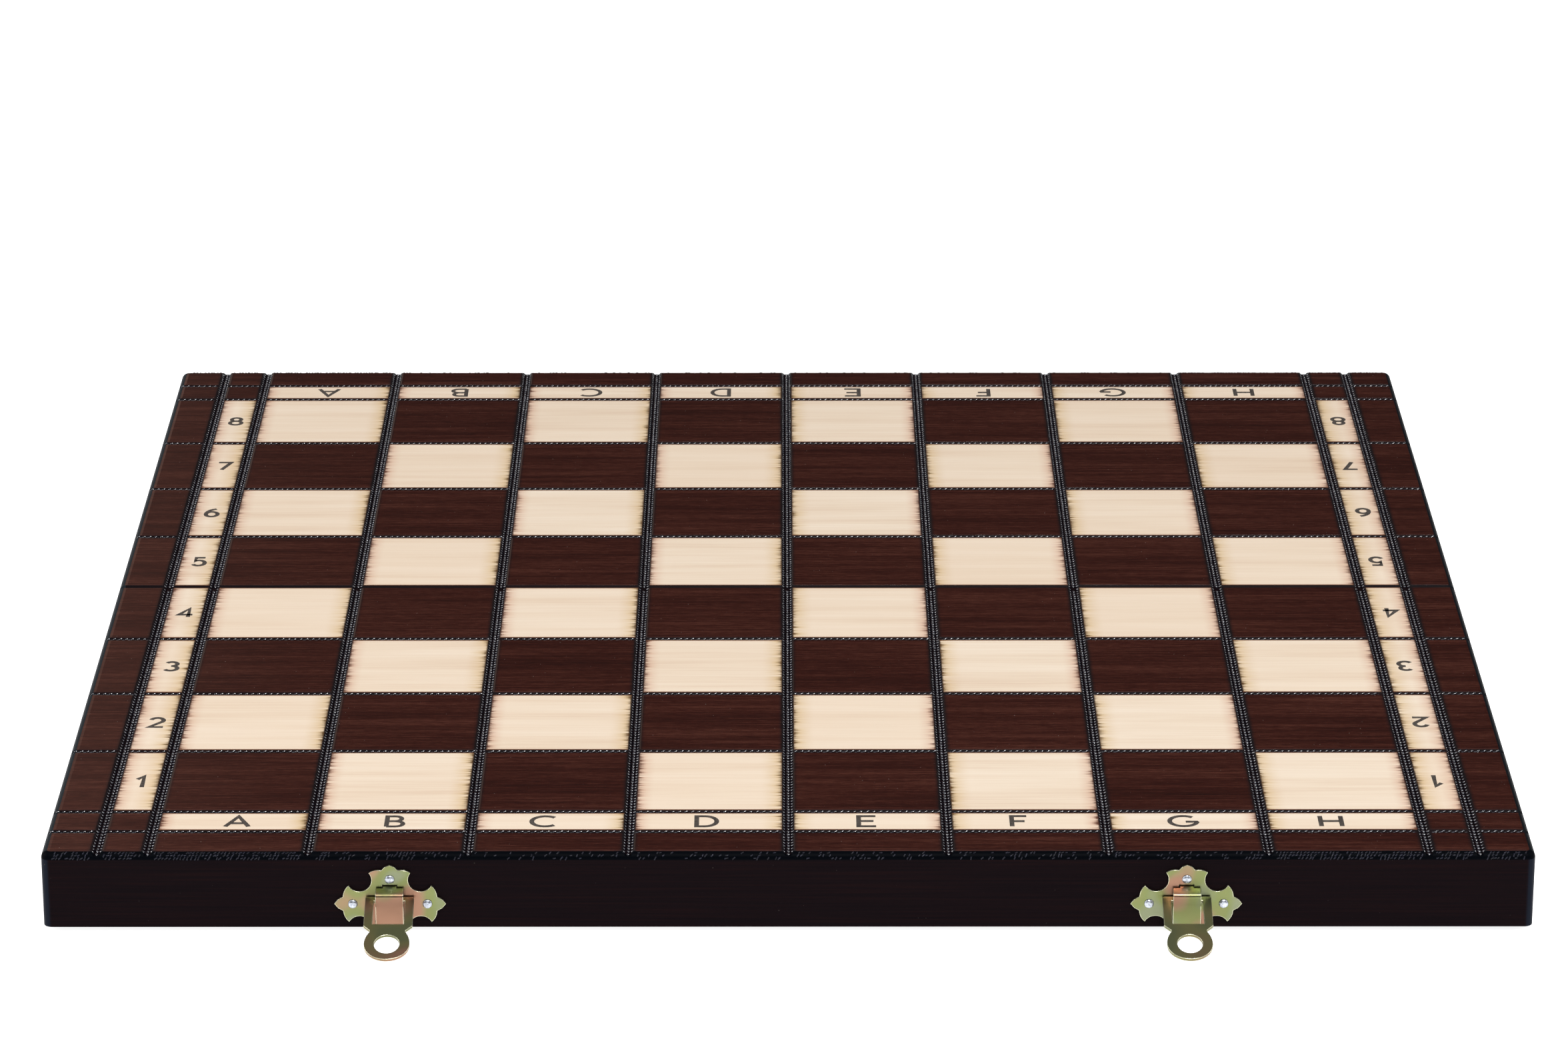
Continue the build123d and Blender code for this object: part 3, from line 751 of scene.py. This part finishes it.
plate_zinc = yellow_zinc("plate_zinc", [
    (0.36, (0.21, 0.23, 0.14)), (0.46, (0.19, 0.215, 0.085)), (0.56, (0.20, 0.21, 0.085)),
    (0.63, (0.26, 0.20, 0.11)), (0.72, (0.32, 0.18, 0.12))], near_strap)
hasp_zinc = yellow_zinc("hasp_zinc", [
    (0.36, (0.15, 0.16, 0.080)), (0.48, (0.19, 0.18, 0.080)), (0.60, (0.21, 0.165, 0.085)),
    (0.74, (0.30, 0.17, 0.11))], near_tip)
for side in ("left", "right"):
    dress(plate_zinc, f"{side}_latch_plate", f"{side}_catch_plate")
    dress(hasp_zinc, f"{side}_hasp")

# %% [markdown]
# ## Nails
# Three round-headed nails hold each plate. A hammer has flattened their heads and left them dented, so
# each is a low dome with small random dents, on the same seat as the plain nail of the CAD model, which
# it replaces.

# %% Bright steel
def steel(name, colour, roughness):
    """Bare steel with small scratches, and painted shade that darkens the hollows of its dents."""
    material, place = new_material(name)
    dents = noise(place, 1.6, 2.0, 0.6)
    # Painted shade: the colour darkens where the dents sink, following the same noise as the bump.
    dent_shade_tint = [(0.3, tuple(0.55 * c for c in colour)), (0.6, colour)]
    return finish_material(material, principled(
        place,
        Base_Color=coloured(dents, dent_shade_tint),
        Metallic=1.0,
        Roughness=roughness + 0.2 * noise(place, 4.0, 1.0),
        Normal=bumped(dents, 0.10, 0.6),
    ))


nail_steel = steel("nail_steel", (0.62, 0.66, 0.74), 0.26)
pin_steel = steel("pin_steel", (0.55, 0.55, 0.57), 0.28)

# %% Nail heads
NAIL_X, NAIL_Z = 10.5, 7.45  # the two side nails, from the middle of the latch and from the rims
TOP_NAIL = {"front": 14.9, "rear": 16.2}  # height of the third nail
PLATE_FACE = HALF + 0.8
HEAD_RADIUS, HEAD_HEIGHT, SHANK_RADIUS, SHANK_LENGTH = 1.38, 0.7, 0.55, 6.5
SHANK_POINT = 1.0
ROUND, RINGS = 24, 6  # points round the nail, and rings up its dome


def nail(seat, outward, vertices, faces):
    """Adds a dented dome and its shank, turned about the outward axis from a seat in mm."""
    profile = [(0.0, -SHANK_LENGTH), (SHANK_RADIUS, SHANK_POINT - SHANK_LENGTH),
               (SHANK_RADIUS, 0.0), (HEAD_RADIUS, 0.0)]
    for ring in range(1, RINGS + 1):
        angle = math.pi / 2 * ring / RINGS
        profile.append((HEAD_RADIUS * math.cos(angle) ** 0.7, HEAD_HEIGHT * math.sin(angle)))
    first = len(vertices)
    for radius, height in profile:
        for step in range(ROUND):
            angle = 2 * math.pi * step / ROUND
            dent = 1 + (random.uniform(-0.05, 0.02) if height > 0 else 0.0)
            offset = Vector((radius * dent * math.cos(angle), 0, radius * dent * math.sin(angle)))
            vertices.append((seat + offset + outward * height * dent) * MM)
    for ring in range(len(profile) - 1):
        for step in range(ROUND):
            a = first + ring * ROUND + step
            b = first + ring * ROUND + (step + 1) % ROUND
            faces.append([a, b, b + ROUND, a + ROUND] if outward.y < 0 else [b, a, a + ROUND, b + ROUND])


for half, side in halves.items():
    vertices, faces = [], []
    for latch in (-LATCH_X, LATCH_X):
        for nail_x, nail_z in ((-NAIL_X, NAIL_Z), (NAIL_X, NAIL_Z), (0.0, TOP_NAIL[half])):
            seat = Vector((latch + nail_x, side * PLATE_FACE, nail_z))
            nail(seat, Vector((0, side, 0)), vertices, faces)
    old = {"front": "latch_nails", "rear": "catch_nails"}[half]
    body = f"{half}_half"
    heads = add_piece(f"{old}_domed", vertices, faces, nail_steel, body, smooth=True)
    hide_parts(old)

# %% [markdown]
# ## Hinges
# The butt hinges are brass, dulled unevenly by handling, with fine scratches along the fold. Their pins
# are steel. They are let into the rims, so they show only from below or when the box is folded.

# %% Brass
brass, place = new_material("hinge_brass")
smear = noise(scaled(place, 0.5, 0.5, 0.5), 1.0, 3.0, 0.6)
rubbed = noise(scaled(place, 0.3, 8.0, 8.0), 1.0, 2.0)
finish_material(brass, principled(
    place,
    Base_Color=coloured(smear, [
        (0.30, (0.42, 0.28, 0.10)), (0.55, (0.72, 0.53, 0.22)), (0.72, (0.82, 0.64, 0.30))]),
    Metallic=1.0,
    Roughness=0.24 + 0.2 * smear,
    Normal=bumped(rubbed, 0.01, 0.5),
))
for side in ("left", "right"):
    dress(brass, f"{side}_hinge_front_leaf", f"{side}_hinge_rear_leaf")
    dress(pin_steel, f"{side}_hinge_pin")
dress(brass, "front_hinge_screws", "rear_hinge_screws")

# %% [markdown]
# ## Felt
# A rectangle of green felt is glued under each panel, so that the chessmen don't rattle. Felt is a mat of
# short fibres with no weave: its surface is slightly uneven and its cut edge is soft. The sheet is a
# closed slab of small squares, its open face raised by gentle waves and its rim rounded, with the fibres
# and their sheen left to the material.

# %% Green felt
felt, place = new_material("felt")
fibres = noise(place, 2.6, 4.0, 0.75)
tufts = noise(scaled(place, 0.9, 0.35, 1.0), 1.0, 3.0, 0.6)
finish_material(felt, principled(
    place,
    Base_Color=coloured(fibres * 0.5 + tufts * 0.5, [
        (0.32, (0.006, 0.075, 0.030)), (0.50, (0.012, 0.150, 0.062)), (0.68, (0.040, 0.260, 0.125))]),
    Roughness=0.95,
    Specular_IOR_Level=0.15,
    Sheen_Weight=0.5,
    Sheen_Roughness=0.5,
    Normal=bumped(fibres, 0.35, 0.8),
))

# %% Felt linings
lining_low, lining_high = box_in_mm("rear_lining")
FELT_X, FELT_NEAR, FELT_FAR = lining_high[0], lining_low[1], lining_high[1]
FELT_BOTTOM, FELT_TOP = lining_low[2], lining_high[2]
CELLS_X, CELLS_Y = 130, 62  # small squares along and across the sheet


def felt_sheet(side):
    """Vertices in metres and faces of a lining: flat and glued above, uneven below, with a round rim."""
    vertices, faces = [], []
    depth = FELT_FAR - FELT_NEAR
    for layer in (0, 1):
        for row_index in range(CELLS_Y + 1):
            for column_index in range(CELLS_X + 1):
                u, v = column_index / CELLS_X, row_index / CELLS_Y
                at = Vector((FELT_X * (2 * u - 1), side * (FELT_NEAR + depth * v), FELT_TOP))
                if layer:
                    to_rim = min(min(u, 1 - u) * 2 * FELT_X, min(v, 1 - v) * depth)
                    rounding = 0.35 * math.exp(-to_rim / 0.6)
                    wave = 0.05 * math.sin(0.11 * at.x + 1.7 * side) * math.sin(0.13 * at.y + 0.6)
                    at.z = FELT_BOTTOM + 0.06 + wave + rounding + random.uniform(-0.01, 0.01)
                vertices.append(at * MM)
    across = CELLS_X + 1
    lower = across * (CELLS_Y + 1)
    for row_index in range(CELLS_Y):
        for column_index in range(CELLS_X):
            a = row_index * across + column_index
            quad = [a, a + 1, a + 1 + across, a + across]
            faces += [quad, [lower + corner for corner in reversed(quad)]]
    rim = list(range(CELLS_X))
    rim += [CELLS_X + row_index * across for row_index in range(CELLS_Y)]
    rim += [lower - 1 - column_index for column_index in range(CELLS_X)]
    rim += [(CELLS_Y - row_index) * across for row_index in range(CELLS_Y)]
    for index, corner in enumerate(rim):
        after = rim[(index + 1) % len(rim)]
        faces.append([after, corner, lower + corner, lower + after])
    if side < 0:
        faces = [face[::-1] for face in faces]
    return vertices, faces


for half, side in halves.items():
    vertices, faces = felt_sheet(side)
    lining = add_piece(f"{half}_felt", vertices, faces, felt, f"{half}_half", smooth=True)
    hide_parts(f"{half}_lining")

# %% [markdown]
# ## The studio
# The box stands on a white table under soft light. Two large soft lamps stand left and right, so the
# rounded sides of the board take a cool sheen. A smaller, stronger one stands high in front, where the
# knurling and the nail heads pick it up as glints. Straight behind the board the room is dim: that is
# what the lacquer mirrors towards the camera, and a bright wall there would turn the dark squares grey.
# The room is a world whose light grows from the horizon to the zenith, with a paler patch behind on the
# left, which gives that end of the board its sheen.

# %% Table
TABLE_HALF = 7.0  # in metres, so that its edges stay out of view
UNDER = 0.0001  # gap in metres between the table and what stands on it


def floor_material():
    """White where the camera or a shiny surface sees it, and matt where light falls on it."""
    material, place = new_material("white_table")
    diffuse = place.node("BsdfDiffuse", None, {"Color": (0.90, 0.90, 0.90, 1.0)})
    seen = place.node("LightPath", output="Is Camera Ray")
    for kind in ("Is Glossy Ray", "Is Transmission Ray"):
        seen = seen + place.node("LightPath", output=kind)
    own_light = place.node("Emission", None, {"Strength": seen * 0.9})
    return finish_material(material, place.node("AddShader", None, {0: diffuse, 1: own_light}))


corners = [(x * TABLE_HALF, y * TABLE_HALF, cad_low.z - UNDER)
           for x, y in ((-1, -1), (1, -1), (1, 1), (-1, 1))]
mesh = bpy.data.meshes.new("table")
mesh.from_pydata(corners, [], [(0, 1, 2, 3)])
mesh.materials.append(floor_material())
table = bpy.data.objects.new("table", mesh)
scene.collection.objects.link(table)

# %% Lamps and room
def soft_lamp(name, place, width, height, power, colour=(1.0, 1.0, 1.0)):
    """A rectangular soft lamp at a place in metres, facing the board."""
    light = bpy.data.lights.new(name, "AREA")
    light.shape, light.size, light.size_y = "RECTANGLE", width, height
    light.energy, light.color = power, colour
    lamp = bpy.data.objects.new(name, light)
    lamp.location = place
    lamp.rotation_euler = (-Vector(place)).to_track_quat("-Z", "Y").to_euler()
    scene.collection.objects.link(lamp)
    print("lamp:", name, "watts:", power)


soft_lamp("left_lamp", (-1.5, -0.1, 0.8), 1.2, 0.9, 13, (0.97, 0.985, 1.0))
soft_lamp("right_lamp", (1.5, -0.1, 0.8), 1.2, 0.9, 9)
soft_lamp("front_lamp", (0.2, -1.35, 1.75), 0.5, 0.35, 26)

world = bpy.data.worlds.new("room")
scene.world = world
world.use_nodes = True
world.node_tree.nodes.clear()
direction = Wire(world.node_tree.nodes.new("ShaderNodeTexCoord").outputs["Generated"])
sideways, away, height = split(direction)
room = coloured(height, [
    (0.0, (0.02, 0.02, 0.02)), (0.40, (0.04, 0.04, 0.04)),
    (0.75, (0.40, 0.40, 0.41)), (1.0, (0.62, 0.62, 0.63))])
doorway = ramped(sideways, -0.08, -0.16) * ramped(height, 0.6, 0.45) * (away > 0.0)
room = mixed(doorway, room, (0.36, 0.25, 0.21, 1.0))
sky = direction.node("Background", None, {"Color": room, "Strength": 1.0})
sky.node("OutputWorld", None, {"Surface": sky})
print("room nodes:", len(world.node_tree.nodes))
